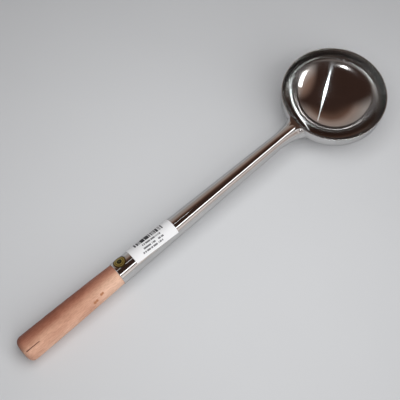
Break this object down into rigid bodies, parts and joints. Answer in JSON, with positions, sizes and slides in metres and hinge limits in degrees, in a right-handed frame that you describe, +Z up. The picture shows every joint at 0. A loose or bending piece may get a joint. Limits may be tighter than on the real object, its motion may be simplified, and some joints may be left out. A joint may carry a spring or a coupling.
{
  "type": "soup ladle",
  "caption": "Long soup ladle with a deep polished steel bowl, a tapered tube shank and a pale wood grip.",
  "frame": {"origin": "on the surface that the ladle lies on, under the middle of its box", "axes": "+X from the grip towards the bowl, +Z up, with the ladle lying on the bowl's bottom and the edge of its butt"},
  "size_m": [0.4564, 0.11, 0.0497],
  "materials": {
    "polished_steel": "mirror polished stainless steel with fine turning marks",
    "grip_wood": "sanded, unvarnished pale pinkish wood",
    "nail_steel": "plain drawn wire",
    "label_paper": "smooth white label paper with plain grey bars",
    "gold_foil": "thin gold foil sticker"
  },
  "bodies": {
    "root": {"bowl": "polished_steel", "shank": "polished_steel", "neck_weld": "polished_steel", "grip": "grip_wood", "grip_nail": "nail_steel", "price_label": "label_paper", "foil_seal": "gold_foil"}
  },
  "joints": []
}
